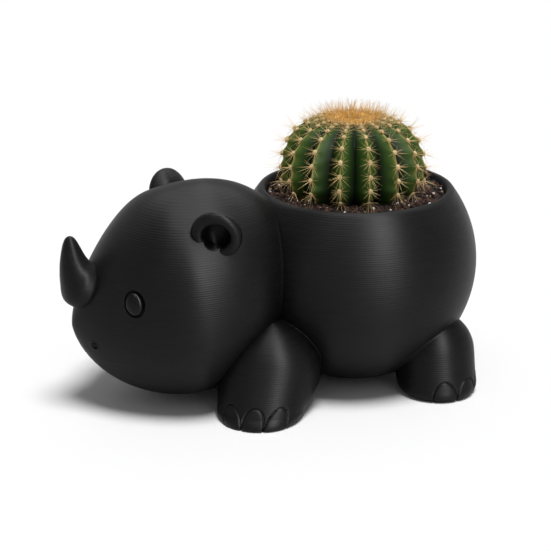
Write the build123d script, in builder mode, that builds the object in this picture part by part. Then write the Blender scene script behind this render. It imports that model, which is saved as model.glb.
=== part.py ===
from build123d import *
from math import cos, radians, sin, sqrt
import os

# A plant pot in the shape of a standing rhinoceros, printed in black plastic, with a barrel
# cactus potted in it. Lengths are millimetres. The ground is z = 0, the animal looks along -Y
# and its left side is +X. The origin lies on the ground under the middle of the whole part.

# Round body, which is the pot
pot_radius = 55.8
pot_widest_height = 54.4    # ground to the middle of the ball
pot_height = 89.2           # top of the lip
belly_clearance = 4.0       # ground to the flat underside
lip_width = 2.4             # width of the lip before it is rounded
cup_taper = 5.5             # how much narrower the cup's floor is than its mouth
cup_floor_height = 12.0
cup_corner_round = 8.0
lip_round = 1.1
drain_radius = 5.0

# Head
head_ahead = 29.1           # centre of the head in front of the pot
head_height = 49.6
head_pitch = 11.9           # degrees that the nose points down
head_half_height = 47.2
head_half_width = 43.0
muzzle_reach = 50.6         # head centre to the tip of the muzzle
nape_reach = 55.0           # head centre to the back of its form, inside the pot
head_wall = 4.5
seam_gap = 0.15             # glue line between bonded pieces
bridge_power = 1.38         # how full each quarter of the head is: 2 is an ellipse
chin_power = 1.89
crown_power = 2.54
throat_power = 1.5
cheek_power = 1.43
nape_power = 2.0
head_station_shares = (-0.97, -0.86, -0.68, -0.45, -0.2, 0.0, 0.2, 0.4, 0.58, 0.74, 0.87, 0.95, 0.985)

# Neck ring, which locates the head on the pot
neck_reach = 7.0            # how far the ring stands into the head
neck_wall = 3.0
neck_clearance = 0.25
neck_root = 3.0             # how deep the ring starts in the pot wall

# Horn
horn_share = 0.815          # place of the horn along the muzzle
horn_base_radius = 10.8
horn_height = 22.8
horn_root = 2.5             # how far the horn's foot runs into the head before it is trimmed
horn_peg_radius = 5.0
horn_peg_depth = 2.4

# Ears
ear_share = -0.236          # place behind the head's middle
ear_angle = 40.6            # degrees up from the side of the head
ear_stand = 5.5             # ear centre off the head's surface
ear_radius = 11.1
ear_back = 5.3              # from the ear's widest plane to the top of its domed back
ear_turn = 29.0             # degrees that the ear's hollow looks forward
ear_droop = 13.5            # degrees that it looks down
ear_crest_radius = 7.8      # crest of the rolled rim
ear_crest_height = 3.3
ear_hollow_radius = 5.6
ear_hollow_edge = 2.3       # height of the hollow's edge
ear_hollow_floor = 1.8      # the hollow's floor behind the widest plane
ear_peg_radius = 1.8
ear_peg_root = 1.4
ear_peg_back = 1.3          # the peg stands this far towards the ear's back
ear_peg_depth = 2.4

# Eyes and nostrils
eye_share = 0.535
eye_angle = 25.8
eye_half_width = 4.4
eye_half_height = 5.3
eye_proud = 1.2
eye_round = 1.1
eye_groove = 0.45
eye_seat_depth = 2.4
nostril_share = 0.895
nostril_angle = -12.3
nostril_radius = 1.3
nostril_depth = 1.2

# Legs
front_foot_spread = 38.5    # foot centre from the animal's middle
front_foot_ahead = 6.0      # foot centre in front of the pot
front_foot_radius = 19.6
front_shoulder_radius = 23.0
front_shoulder_height = 17.4
front_shoulder_inset = 12.2  # shoulder centre nearer the middle than the foot
front_shoulder_back = 9.6   # shoulder centre behind the foot
rear_foot_spread = 39.1
rear_foot_inset = 30.9      # foot centre inside the pot's rearmost point
rear_foot_radius = 18.1
rear_shoulder_radius = 18.6
rear_shoulder_height = 16.9
rear_shoulder_inset = 6.1
rear_shoulder_back = 0.5
sole_round = 5.0
leg_peg_radius = 4.0
leg_peg_height = 18.0
leg_peg_out = 6.0           # length of the peg's root in the leg
leg_peg_in = 4.5            # length of the peg in the pot wall
leg_peg_clearance = 0.15

# Toenails
nail_count = 3
nail_half_width = 4.8
nail_height = 10.0
front_nail_turn = 58.0      # middle nail, degrees outward of straight ahead
front_nail_spacing = 32.0
rear_nail_turn = 122.0
rear_nail_spacing = 37.0
nail_groove = 0.55
nail_groove_depth = 0.8
nail_proud = 0.5

# Tail
tail_height = 44.0
tail_length = 17.0
tail_root_radius = 3.4
tail_tip_radius = 2.2
tail_proud = 3.0
tail_slope = 16.0           # degrees that it follows the rump inwards
tail_peg_radius = 1.8
tail_peg_depth = 2.0

# Potted plant
mix_depth_below_lip = 6.0
mix_clearance = 0.3
cactus_room = 8.6           # mouth to the cactus ridges
cactus_height = 36.0
cactus_below_widest = 14.0  # soil to the widest height
cactus_ribs = 15
rib_depth_share = 0.14      # valley depth as a share of the ridge's radius
cactus_lower_reach = 38.0   # half height of the ellipse under the widest height
cactus_crown_power = 2.2
cactus_collar_radius = 20.0
cactus_collar_depth = 12.0
collar_clearance = 0.2
crown_radius = 8.5
crown_height = 2.6
areoles_per_rib = 6
areole_radius = 1.3
areole_height = 0.9
areole_gap = 0.15           # areole to the ridge that it grows on
spine_length = 6.6
spine_radius = 0.28
spine_rise = 0.75           # how steeply a spine stands: 1 is halfway between flat and upright
crown_spine_length = 12.0
crown_spine_rise = 4.0
crown_areole_share = 0.955
spine_taper = 2.0
areole_taper = 30.0
first_areole_share = 0.08
areole_step_share = 0.14
cactus_slope_share = 0.02    # step up the ridge that gives its slope
cactus_station_shares = (0.0, 0.18, 0.38, 0.58, 0.75, 0.88, 0.965)
spines_per_areole = 4

overrun = 20.0              # how far cutters run past what they cut

# Horn stations up from its foot: forward and up as shares of its height, the tilt of the section
# in degrees from upright, and the radius as a share of the foot's
horn_station_shares = (
    (0.0, 0.0, 63.0, 1.0),
    (0.12, 0.1, 53.0, 0.95),
    (0.17, 0.285, 42.0, 0.755),
    (0.2, 0.485, 30.0, 0.58),
    (0.217, 0.685, 19.0, 0.43),
    (0.224, 0.86, 7.0, 0.29),
    (0.226, 0.96, 2.0, 0.16),
)
horn_tip_shares = (0.224, 1.0)

# Places that follow from the sizes
lip_radius = sqrt(pot_radius ** 2 - (pot_height - pot_widest_height) ** 2)
mouth_radius = lip_radius - lip_width
cup_floor_radius = mouth_radius - cup_taper
cactus_radius = mouth_radius - cactus_room


def pot_radius_at(height):
    return sqrt(pot_radius ** 2 - (height - pot_widest_height) ** 2)


head_forward = Vector(0, -cos(radians(head_pitch)), -sin(radians(head_pitch)))
head_up = Vector(0, -sin(radians(head_pitch)), cos(radians(head_pitch)))
head_side = Vector(1, 0, 0)


def fullness(share, power):
    return (1 - abs(share) ** power) ** (1 / power)


def head_offset(share, angle, stand=0):
    """From the head's centre to its surface: share along its axis, angle up from its left side."""
    back = share < 0
    above = (head_half_height + stand) * fullness(share, crown_power if back else bridge_power)
    below = (head_half_height + stand) * fullness(share, throat_power if back else chin_power)
    across = (head_half_width + stand) * fullness(share, nape_power if back else cheek_power)
    along = share * ((nape_reach if back else muzzle_reach) + stand)
    up = (above - below) / 2 + (above + below) / 2 * sin(radians(angle))
    return head_forward * along + head_up * up + head_side * across * cos(radians(angle))


horn_reach = max(
    forward * horn_height + radius * horn_base_radius * cos(radians(tilt))
    for forward, up, tilt, radius in horn_station_shares
)
front_end = pot_radius + head_ahead - head_offset(horn_share, 90).Y + horn_reach
rear_end = pot_radius_at(tail_height) + tail_proud
pot_y = (front_end - rear_end) / 2
pot_axis = Axis((0, pot_y, 0), (0, 0, 1))
profile_plane = Plane.XZ.offset(-pot_y)
head_centre = Vector(0, pot_y - pot_radius - head_ahead, head_height)


def head_point(share, angle, stand=0):
    return head_centre + head_offset(share, angle, stand)


def head_plane(share, angle):
    """The plane that touches the head there, facing outwards, its Y axis along the head's rise."""
    step_share, step_angle = 0.01, 1.0
    origin = head_point(share, angle)
    run = head_point(share + step_share, angle) - origin
    rise = head_point(share, angle + step_angle) - origin
    return Plane(origin=origin, x_dir=run, z_dir=rise.cross(run))


def head_form(stand):
    """The head's closed form, stand outside its surface or inside it where negative."""
    sections = []
    for share in head_station_shares:
        top, bottom = head_point(share, 90, stand), head_point(share, -90, stand)
        side = head_point(share, 0, stand)
        middle = (top + bottom) / 2
        plane = Plane(origin=middle, x_dir=head_up, z_dir=head_forward)
        with BuildSketch(plane) as section:
            Ellipse((top - bottom).length / 2, (side - middle).dot(head_side), rotation=180)
        sections.append(section.sketch)
    with BuildPart() as form:
        loft([*sections, Vertex(head_point(1, 0, stand))])
    return form.part


def pot_form(stand):
    """The round body's closed form, stand outside its surface or inside it where negative."""
    with BuildPart() as form:
        with Locations((0, pot_y, pot_widest_height)):
            Sphere(pot_radius + stand)
        split(bisect_by=Plane.XY.offset(pot_height), keep=Keep.BOTTOM)
        split(bisect_by=Plane.XY.offset(belly_clearance - stand), keep=Keep.TOP)
    return form.part


def pot_cutter(stand):
    """The pot's form carried straight up from the lip, to trim what stands against it."""
    with BuildPart() as form:
        add(pot_form(stand))
        with Locations((0, pot_y, pot_height)):
            Cylinder(lip_radius + stand, 2 * overrun)
    return form.part


def tapered_cup(gap):
    """The space inside the pot, drawn in by a gap all round."""
    with BuildPart() as form:
        with BuildSketch(profile_plane):
            with BuildLine():
                floor = cup_floor_height + gap
                draft = (mouth_radius - cup_floor_radius) / (pot_height - cup_floor_height)
                floor_radius = cup_floor_radius - gap + draft * gap
                top = pot_height + overrun
                top_radius = mouth_radius - gap + draft * overrun
                corners = ((0, floor), (floor_radius, floor), (top_radius, top))
                wall = FilletPolyline(*corners, radius=cup_corner_round)
                Polyline(wall @ 1, (0, top), wall @ 0)
            make_face()
        revolve(axis=pot_axis)
    return form.part


head_seat = head_form(seam_gap)
pot_seat = pot_cutter(seam_gap)


def peg(plane, radius, root, depth):
    """A round peg that starts root above a plane and ends depth under it."""
    with BuildPart() as form:
        with BuildSketch(plane.offset(-depth)):
            Circle(radius)
        extrude(amount=depth + root)
    return form.part


# Legs: each is a round foot that leans into a round shoulder, trimmed where it meets the pot
# and the head. The left leg is made and mirrored.
def leg_form(foot, foot_radius, shoulder, shoulder_radius, stand):
    """A leg's whole form, stand outside its surface or inside it where negative."""
    rings = []
    for angle in (0, 30, 60, 90):
        height = sole_round * (1 - cos(radians(angle)))
        centre = foot + (shoulder - foot) * (height / shoulder.Z)
        rings.append((centre, foot_radius - sole_round * (1 - sin(radians(angle)))))
    rings.append(((foot + shoulder) / 2 + Vector(0, 0, sole_round / 2), (foot_radius + shoulder_radius) / 2))
    rings.append((shoulder, shoulder_radius))
    for angle in (30, 55, 75):
        rise = Vector(0, 0, shoulder_radius * sin(radians(angle)))
        rings.append((shoulder + rise, shoulder_radius * cos(radians(angle))))
    with BuildPart() as form:
        sections = []
        for centre, radius in rings:
            with BuildSketch(Plane(origin=centre, z_dir=(0, 0, 1))) as ring:
                Circle(radius + stand)
            sections.append(ring.sketch)
        loft([*sections, Vertex(shoulder + Vector(0, 0, shoulder_radius + stand))])
    return form.part


def toenails(leg, skin, core, foot, foot_radius, turn, spacing):
    """Arched grooves round slightly domed nails, spaced round the front of a foot."""
    with BuildPart() as foot_part:
        add(leg)
        for step in range(nail_count):
            angle = turn + (step - (nail_count - 1) / 2) * spacing
            out = Vector(sin(radians(angle)), -cos(radians(angle)), 0)
            nail_plane = Plane(origin=foot + out * foot_radius / 2, x_dir=(out.Y, -out.X, 0), z_dir=out)
            with BuildPart(mode=Mode.PRIVATE) as nail:
                with BuildSketch(nail_plane):
                    Ellipse(nail_half_width, nail_height)
                extrude(amount=foot_radius)
            with BuildPart(mode=Mode.PRIVATE) as groove:
                with BuildSketch(nail_plane):
                    Ellipse(nail_half_width + nail_groove, nail_height + nail_groove)
                    Ellipse(nail_half_width, nail_height, mode=Mode.SUBTRACT)
                extrude(amount=foot_radius)
                add(core, mode=Mode.SUBTRACT)
            add(groove.part, mode=Mode.SUBTRACT)
            add(nail.part & skin)
    return foot_part.part


def left_leg(foot, foot_radius, shoulder, shoulder_radius, nail_turn, spacing):
    sizes = (foot, foot_radius, shoulder, shoulder_radius)
    whole = toenails(
        leg_form(*sizes, 0), leg_form(*sizes, nail_proud), leg_form(*sizes, -nail_groove_depth),
        foot, foot_radius, nail_turn, spacing,
    )
    with BuildPart() as leg:
        add(whole)
        add(pot_seat, mode=Mode.SUBTRACT)
        add(head_seat, mode=Mode.SUBTRACT)
        add(peg(leg_peg_plane(foot), leg_peg_radius, leg_peg_out, leg_peg_in))
    return leg.part


def leg_peg_plane(foot):
    """Where a leg's peg enters the pot, facing out of it."""
    out = Vector(foot.X, foot.Y - pot_y, 0).normalized()
    return Plane(origin=Vector(0, pot_y, leg_peg_height) + out * pot_radius_at(leg_peg_height), z_dir=out)


front_foot = Vector(front_foot_spread, pot_y - pot_radius - front_foot_ahead, 0)
front_shoulder = front_foot + Vector(-front_shoulder_inset, front_shoulder_back, front_shoulder_height)
rear_foot = Vector(rear_foot_spread, pot_y + pot_radius - rear_foot_inset, 0)
rear_shoulder = rear_foot + Vector(-rear_shoulder_inset, rear_shoulder_back, rear_shoulder_height)

front_leg = left_leg(
    front_foot, front_foot_radius, front_shoulder, front_shoulder_radius, front_nail_turn, front_nail_spacing
)
rear_leg = left_leg(
    rear_foot, rear_foot_radius, rear_shoulder, rear_shoulder_radius, rear_nail_turn, rear_nail_spacing
)

with BuildPart() as front_left_leg:
    add(front_leg)
with BuildPart() as front_right_leg:
    mirror(front_leg, about=Plane.YZ)
with BuildPart() as rear_left_leg:
    add(rear_leg)
with BuildPart() as rear_right_leg:
    mirror(rear_leg, about=Plane.YZ)

# Horn, a curved thorn on the bridge of the nose
horn_base = head_point(horn_share, 90)


def horn_plane(forward, up, tilt):
    lean = Vector(0, -sin(radians(tilt)), cos(radians(tilt)))
    return Plane(origin=horn_base + Vector(0, -forward, up) * horn_height, x_dir=head_side, z_dir=lean)


horn_foot_plane = horn_plane(*horn_station_shares[0][:3])
with BuildPart() as horn:
    horn_sections = []
    with BuildSketch(horn_foot_plane.offset(-horn_root)) as horn_root_ring:
        Circle(horn_base_radius)
    horn_sections.append(horn_root_ring.sketch)
    for forward, up, tilt, radius in horn_station_shares:
        with BuildSketch(horn_plane(forward, up, tilt)) as horn_ring:
            Circle(horn_base_radius * radius)
        horn_sections.append(horn_ring.sketch)
    horn_tip = horn_base + Vector(0, -horn_tip_shares[0], horn_tip_shares[1]) * horn_height
    loft([*horn_sections, Vertex(horn_tip)])
    add(head_seat, mode=Mode.SUBTRACT)
    add(peg(horn_foot_plane, horn_peg_radius, horn_root, horn_peg_depth))

# Ears, thick round cups with a rolled rim, half sunk in the sides of the head
ear_centre = head_point(ear_share, ear_angle, ear_stand)
ear_facing = Vector(
    cos(radians(ear_turn)) * cos(radians(ear_droop)),
    -sin(radians(ear_turn)) * cos(radians(ear_droop)),
    -sin(radians(ear_droop)),
)
ear_across = ear_facing.cross(Vector(0, 0, 1))
ear_peg_plane = head_plane(ear_share, ear_angle)
ear_lean = ear_facing - ear_peg_plane.z_dir * ear_facing.dot(ear_peg_plane.z_dir)
ear_peg_plane.origin -= ear_lean.normalized() * ear_peg_back
with BuildPart() as left_ear:
    with BuildSketch(Plane(origin=ear_centre, x_dir=ear_across, z_dir=ear_facing.cross(ear_across))):
        with BuildLine():
            outside = Spline(
                (0, ear_back), (ear_radius, 0), (ear_crest_radius, -ear_crest_height),
                (ear_hollow_radius, -ear_hollow_edge), tangents=((1, 0), (-1, 1)),
            )
            hollow = Spline((ear_hollow_radius, -ear_hollow_edge), (0, ear_hollow_floor), tangents=((0, 1), (-1, 0)))
            Line(hollow @ 1, outside @ 0)
        make_face()
    revolve(axis=Axis(ear_centre, ear_facing))
    add(head_seat, mode=Mode.SUBTRACT)
    add(peg(ear_peg_plane, ear_peg_radius, ear_peg_root, ear_peg_depth))
with BuildPart() as right_ear:
    mirror(left_ear.part, about=Plane.YZ)

# Eyes, domed ovals in grooved seats
eye_plane = head_plane(eye_share, eye_angle)
with BuildPart() as left_eye:
    with BuildSketch(eye_plane.offset(-eye_seat_depth)):
        Ellipse(eye_half_width, eye_half_height)
    extrude(amount=eye_seat_depth + eye_proud)
    fillet(left_eye.edges().group_by(Axis(eye_plane.origin, eye_plane.z_dir))[-1], eye_round)
with BuildPart() as right_eye:
    mirror(left_eye.part, about=Plane.YZ)

# Head shell with its seats
nostril_plane = head_plane(nostril_share, nostril_angle)
with BuildPart() as left_seats:
    with BuildSketch(eye_plane.offset(-eye_seat_depth)):
        Ellipse(eye_half_width + eye_groove, eye_half_height + eye_groove)
    extrude(amount=eye_seat_depth + overrun / 4)
    add(peg(ear_peg_plane, ear_peg_radius + seam_gap, overrun / 4, ear_peg_depth + seam_gap))
    add(peg(nostril_plane, nostril_radius, nostril_radius, nostril_depth))
with BuildPart() as head_shell:
    add(head_form(0))
    add(head_form(-head_wall), mode=Mode.SUBTRACT)
    add(pot_seat, mode=Mode.SUBTRACT)
    add(left_seats.part, mode=Mode.SUBTRACT)
    mirror(left_seats.part, about=Plane.YZ, mode=Mode.SUBTRACT)
    add(
        peg(horn_foot_plane, horn_peg_radius + seam_gap, overrun / 4, horn_peg_depth + seam_gap),
        mode=Mode.SUBTRACT,
    )

# Neck ring, grown from the pot wall into the head
with BuildPart() as neck_ring:
    add(head_form(-head_wall - neck_clearance))
    add(head_form(-head_wall - neck_clearance - neck_wall), mode=Mode.SUBTRACT)
    add(pot_form(neck_reach), mode=Mode.INTERSECT)
    add(pot_form(-neck_root), mode=Mode.SUBTRACT)

# Tail, a small blunt cone lying on the rump
rump = Vector(0, pot_y + pot_radius_at(tail_height), tail_height)
tail_down = Vector(0, -sin(radians(tail_slope)), -cos(radians(tail_slope)))
tail_start = rump + Vector(0, tail_proud - tail_root_radius, 0)
tail_plane = Plane(origin=tail_start, x_dir=head_side, z_dir=tail_down)
tail_seat_plane = Plane(origin=rump, x_dir=head_side, z_dir=(0, 1, 0))
with BuildPart() as tail:
    with BuildSketch(Plane(origin=tail_start, x_dir=tail_plane.y_dir, z_dir=tail_plane.x_dir)):
        with BuildLine():
            root = CenterArc((0, 0), tail_root_radius, start_angle=0, arc_size=-90)
            tip = CenterArc((0, tail_length - tail_root_radius - tail_tip_radius), tail_tip_radius, 0, 90)
            Polyline(root @ 0, tip @ 0)
            Polyline(tip @ 1, root @ 1)
        make_face()
    revolve(axis=Axis(tail_start, tail_down))
    add(pot_seat, mode=Mode.SUBTRACT)
    add(peg(tail_seat_plane, tail_peg_radius, tail_proud / 2, tail_peg_depth))

# Pot shell: the pot with its cup, drain hole, neck ring and the seats of legs and tail
with BuildPart() as left_sockets:
    for foot_place in (front_foot, rear_foot):
        add(peg(
            leg_peg_plane(foot_place), leg_peg_radius + leg_peg_clearance, leg_peg_out,
            leg_peg_in + leg_peg_clearance,
        ))
with BuildPart() as pot_shell:
    add(pot_form(0))
    add(tapered_cup(0), mode=Mode.SUBTRACT)
    fillet(pot_shell.edges().filter_by(GeomType.CIRCLE).group_by(Axis.Z)[-1], lip_round)
    with Locations((0, pot_y, cup_floor_height)):
        Cylinder(drain_radius, 2 * cup_floor_height, mode=Mode.SUBTRACT)
    add(neck_ring.part)
    add(left_sockets.part, mode=Mode.SUBTRACT)
    mirror(left_sockets.part, about=Plane.YZ, mode=Mode.SUBTRACT)
    add(
        peg(tail_seat_plane, tail_peg_radius + seam_gap, tail_proud, tail_peg_depth + seam_gap),
        mode=Mode.SUBTRACT,
    )

# Potting mix, a root ball that lifts out of the cup
soil_height = pot_height - mix_depth_below_lip
with BuildPart() as potting_mix:
    add(tapered_cup(mix_clearance))
    split(bisect_by=Plane.XY.offset(soil_height), keep=Keep.BOTTOM)
    with Locations((0, pot_y, soil_height)):
        Hole(cactus_collar_radius + collar_clearance, cactus_collar_depth + collar_clearance)


# Cactus, a ribbed barrel with sharp ridges
def cactus_ridge(share):
    """Radius and height of the ridges, share running from the soil to the crown."""
    height = share * cactus_height
    above = height > cactus_below_widest
    reach = cactus_height - cactus_below_widest if above else cactus_lower_reach
    across = fullness((height - cactus_below_widest) / reach, cactus_crown_power if above else 2)
    return cactus_radius * across, soil_height + height


with BuildPart() as cactus_body:
    cactus_sections = []
    for share in cactus_station_shares:
        ridge, height = cactus_ridge(share)
        valley = ridge * (1 - rib_depth_share)
        turns = [360 * step / (2 * cactus_ribs) for step in range(2 * cactus_ribs)]
        radii = [ridge, valley] * cactus_ribs
        corners = [(r * cos(radians(t)), r * sin(radians(t))) for r, t in zip(radii, turns)]
        with BuildSketch(Plane(origin=(0, pot_y, height), z_dir=(0, 0, 1))) as star:
            with BuildLine():
                Polyline(*corners, close=True)
            make_face()
        cactus_sections.append(star.sketch)
    loft(cactus_sections)
    with Locations((0, pot_y, soil_height)):
        Cylinder(cactus_collar_radius, cactus_collar_depth, align=(Align.CENTER, Align.CENTER, Align.MAX))

crown_ridge, crown_base = cactus_ridge(cactus_station_shares[-1])
with BuildPart() as cactus_crown:
    with BuildSketch(profile_plane):
        with BuildLine():
            dome = ThreePointArc(
                (-crown_radius, crown_base), (0, crown_base + crown_height), (crown_radius, crown_base)
            )
            Line(dome @ 0, dome @ 1)
        make_face()
        with Locations((-crown_radius, crown_base)):
            Rectangle(crown_radius, 2 * crown_height, align=(Align.MIN, Align.CENTER), mode=Mode.SUBTRACT)
    revolve(axis=pot_axis)


# Areoles with their spines, one cluster repeated up each ridge and a longer one round the crown
def areole(length, rise):
    with BuildPart() as cluster:
        with BuildSketch():
            RegularPolygon(areole_radius, 6)
        extrude(amount=areole_height, taper=areole_taper)
        for turn in range(spines_per_areole):
            spin = 360 * (turn + 1 / 2) / spines_per_areole
            lean = Vector(cos(radians(spin)), sin(radians(spin)), rise)
            with BuildSketch(Plane(origin=(0, 0, areole_height / 3), z_dir=lean)):
                RegularPolygon(spine_radius, 3)
            extrude(amount=length, taper=spine_taper)
    return cluster.part


def areole_place(rib, share, turned):
    """Where a cluster sits on a ridge, facing out; turned, its spines point along and across the rib."""
    radius, height = cactus_ridge(share)
    next_radius, next_height = cactus_ridge(share + cactus_slope_share)
    turn = radians(360 * rib / cactus_ribs)
    outward = Vector(cos(turn), sin(turn), 0)
    across = Vector(-sin(turn), cos(turn), 0)
    along = (outward * (next_radius - radius) + Vector(0, 0, next_height - height)).normalized()
    facing = across.cross(along)
    place = outward * radius + Vector(0, pot_y, height) + facing * areole_gap
    return Plane(origin=place, x_dir=across + along if turned else across, z_dir=facing).location


side_areole = areole(spine_length, spine_rise)
crown_areole = areole(crown_spine_length, crown_spine_rise)
clusters = []
for rib in range(cactus_ribs):
    for row in range(areoles_per_rib):
        share = first_areole_share + areole_step_share * (row + (rib % 2) / 2)
        clusters.append(areole_place(rib, share, row % 2) * side_areole)
    clusters.append(areole_place(rib, crown_areole_share, False) * crown_areole)
cactus_spines = Compound(clusters)

pieces = {
    "pot_shell": pot_shell.part,
    "head_shell": head_shell.part,
    "horn": horn.part,
    "left_ear": left_ear.part,
    "right_ear": right_ear.part,
    "left_eye": left_eye.part,
    "right_eye": right_eye.part,
    "front_left_leg": front_left_leg.part,
    "front_right_leg": front_right_leg.part,
    "rear_left_leg": rear_left_leg.part,
    "rear_right_leg": rear_right_leg.part,
    "tail": tail.part,
    "potting_mix": potting_mix.part,
    "cactus_body": cactus_body.part,
    "cactus_crown": cactus_crown.part,
    "cactus_spines": cactus_spines,
}
os.makedirs("parts", exist_ok=True)
for label, piece in pieces.items():
    piece.label = label
    export_step(piece, f"parts/{label}.step")
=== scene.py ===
import math
import random

import bpy
from mathutils import Matrix, Vector, noise


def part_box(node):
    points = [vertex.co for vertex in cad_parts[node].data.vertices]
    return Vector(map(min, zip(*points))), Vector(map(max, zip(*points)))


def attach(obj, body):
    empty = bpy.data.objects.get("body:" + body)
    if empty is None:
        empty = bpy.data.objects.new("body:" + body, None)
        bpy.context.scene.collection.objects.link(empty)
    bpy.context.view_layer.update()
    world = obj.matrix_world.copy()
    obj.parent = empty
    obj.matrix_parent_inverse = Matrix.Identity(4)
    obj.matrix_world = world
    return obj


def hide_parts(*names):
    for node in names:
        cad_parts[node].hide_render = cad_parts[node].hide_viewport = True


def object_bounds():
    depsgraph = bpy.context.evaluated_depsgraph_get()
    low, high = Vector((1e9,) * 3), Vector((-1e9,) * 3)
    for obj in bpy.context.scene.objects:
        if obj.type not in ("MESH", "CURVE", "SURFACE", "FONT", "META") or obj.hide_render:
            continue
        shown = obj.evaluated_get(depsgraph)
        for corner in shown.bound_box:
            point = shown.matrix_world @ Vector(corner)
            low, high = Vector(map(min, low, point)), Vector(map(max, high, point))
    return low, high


# Rhinoceros shaped planter in black printed plastic, with a golden barrel cactus.
# Sizes in the dictionaries are millimetres, measured from the pot's own axis and the ground.

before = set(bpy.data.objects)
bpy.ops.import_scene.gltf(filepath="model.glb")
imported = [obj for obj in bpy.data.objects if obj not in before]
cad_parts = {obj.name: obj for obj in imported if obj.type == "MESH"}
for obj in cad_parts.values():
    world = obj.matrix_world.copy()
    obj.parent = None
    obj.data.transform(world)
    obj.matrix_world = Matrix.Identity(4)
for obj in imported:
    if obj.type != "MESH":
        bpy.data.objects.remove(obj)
cadBox = [list(corner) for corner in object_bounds()]
mixLow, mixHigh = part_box("potting_mix")
potAxis = Vector((0, (mixLow.y + mixHigh.y) / 2, 0))
mm = 0.001
seamGap = 0.01  # vertices closer than this are merged
random.seed(31)


def setMode(name):
    bpy.ops.object.mode_set(mode=name)


def clearSelection():
    if bpy.context.mode != "OBJECT":
        setMode("OBJECT")
    bpy.ops.object.select_all(action="DESELECT")


def real(point):  # millimetres from the pot's axis to metres in the frame
    return potAxis + Vector(point) * mm


def ringPoint(far, turn, height=0.0):  # a place round an upright axis
    return Vector((far * math.cos(turn), far * math.sin(turn), height))


def direction(azimuth, elevation):  # degrees round from the front and degrees up
    a, e = math.radians(azimuth), math.radians(elevation)
    return Vector((math.sin(a) * math.cos(e), -math.cos(a) * math.cos(e), math.sin(e)))


def ease(value):
    value = max(0.0, min(1.0, value))
    return value * value * (3 - 2 * value)


def smoothLine(points, count):  # a soft curve through a few points
    line = []
    spans = len(points) - 1
    for step in range(count + 1):
        at = step / count * spans
        span = min(int(at), spans - 1)
        t = at - span
        p = [points[max(0, min(spans, span + k))] for k in (-1, 0, 1, 2)]
        line.append(tuple(
            0.5 * (2 * b + (c - a) * t + (2 * a - 5 * b + 4 * c - d) * t * t
                   + (3 * b - a - 3 * c + d) * t ** 3)
            for a, b, c, d in zip(*p)
        ))
    return line


def spinProfile(points, steps):  # a profile of radius and height, extruded from one vertex, then spun
    clearSelection()
    bpy.ops.mesh.primitive_plane_add(size=mm)
    piece = bpy.context.object
    setMode("EDIT")
    bpy.ops.mesh.select_mode(type="VERT")
    bpy.ops.mesh.select_all(action="SELECT")
    bpy.ops.mesh.merge(type="CENTER")
    bpy.ops.transform.translate(value=(points[0][0] * mm, 0, points[0][1] * mm))
    for before, after in zip(points, points[1:]):
        step = ((after[0] - before[0]) * mm, 0, (after[1] - before[1]) * mm)
        bpy.ops.mesh.extrude_vertices_move(TRANSFORM_OT_translate={"value": step})
    bpy.ops.mesh.select_all(action="SELECT")
    bpy.ops.mesh.spin(steps=steps, angle=math.tau, center=(0, 0, 0), axis=(0, 0, 1))
    tidyFaces()
    return piece


def tidyFaces():  # in edit mode: close the seam and turn every face outwards
    bpy.ops.mesh.select_all(action="SELECT")
    bpy.ops.mesh.remove_doubles(threshold=seamGap * mm)
    bpy.ops.mesh.normals_make_consistent(inside=False)
    setMode("OBJECT")


def roundForm(segments, rings, placeOf):  # a sphere whose rows and columns are pulled to a form
    clearSelection()
    bpy.ops.mesh.primitive_uv_sphere_add(segments=segments, ring_count=rings, radius=1)
    piece = bpy.context.object
    for vertex in piece.data.vertices:
        x, y, z = vertex.co
        row = round(math.acos(max(-1.0, min(1.0, z))) / math.pi * rings)
        column = round(math.atan2(y, x) / math.tau * segments) % segments
        vertex.co = real(placeOf(row, column))
    setMode("EDIT")
    tidyFaces()
    return piece


def selectWhere(piece, test):  # in object mode: pick vertices by their place in millimetres
    for polygon in piece.data.polygons:
        polygon.select = False
    for edge in piece.data.edges:
        edge.select = False
    for vertex in piece.data.vertices:
        vertex.select = test((vertex.co - potAxis) / mm)


def refine(piece, centre, reach, cuts):  # finer faces round one detail
    centre = Vector(centre)
    selectWhere(piece, lambda place: (place - centre).length < reach)
    bpy.context.view_layer.objects.active = piece
    setMode("EDIT")
    bpy.ops.mesh.select_mode(type="VERT")
    bpy.ops.mesh.subdivide(number_cuts=cuts)
    setMode("OBJECT")


def mirrored(piece):
    clearSelection()
    twin = piece.copy()
    twin.data = piece.data.copy()
    bpy.context.collection.objects.link(twin)
    twin.data.transform(Matrix.Scale(-1, 4, (1, 0, 0)))
    twin.select_set(True)
    bpy.context.view_layer.objects.active = twin
    setMode("EDIT")
    bpy.ops.mesh.select_all(action="SELECT")
    bpy.ops.mesh.flip_normals()
    setMode("OBJECT")
    return twin


def joined(copies):
    clearSelection()
    for piece in copies:
        piece.select_set(True)
    bpy.context.view_layer.objects.active = copies[0]
    bpy.ops.object.join()
    return bpy.context.object


def copyTo(model, matrix):
    twin = model.copy()
    twin.data = model.data.copy()
    twin.data.transform(matrix)
    bpy.context.collection.objects.link(twin)
    return twin


def finishPiece(piece, name, material, body, nodes=(), crease=40):
    clearSelection()
    piece.name = name
    piece.data.name = name
    piece.select_set(True)
    bpy.context.view_layer.objects.active = piece
    bpy.ops.object.transform_apply(location=True, rotation=True, scale=True)
    bpy.ops.object.shade_smooth_by_angle(angle=math.radians(crease))
    piece.data.materials.clear()
    piece.data.materials.append(material)
    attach(piece, body)
    if nodes:
        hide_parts(*nodes)


def finishPair(left, names, material, nodes, crease):  # a piece and its mirror image
    for piece, name, node in zip((left, mirrored(left)), names, nodes):
        finishPiece(piece, name, material, "planter", [node], crease)


clearSelection()

# Shared effects for the materials


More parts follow.
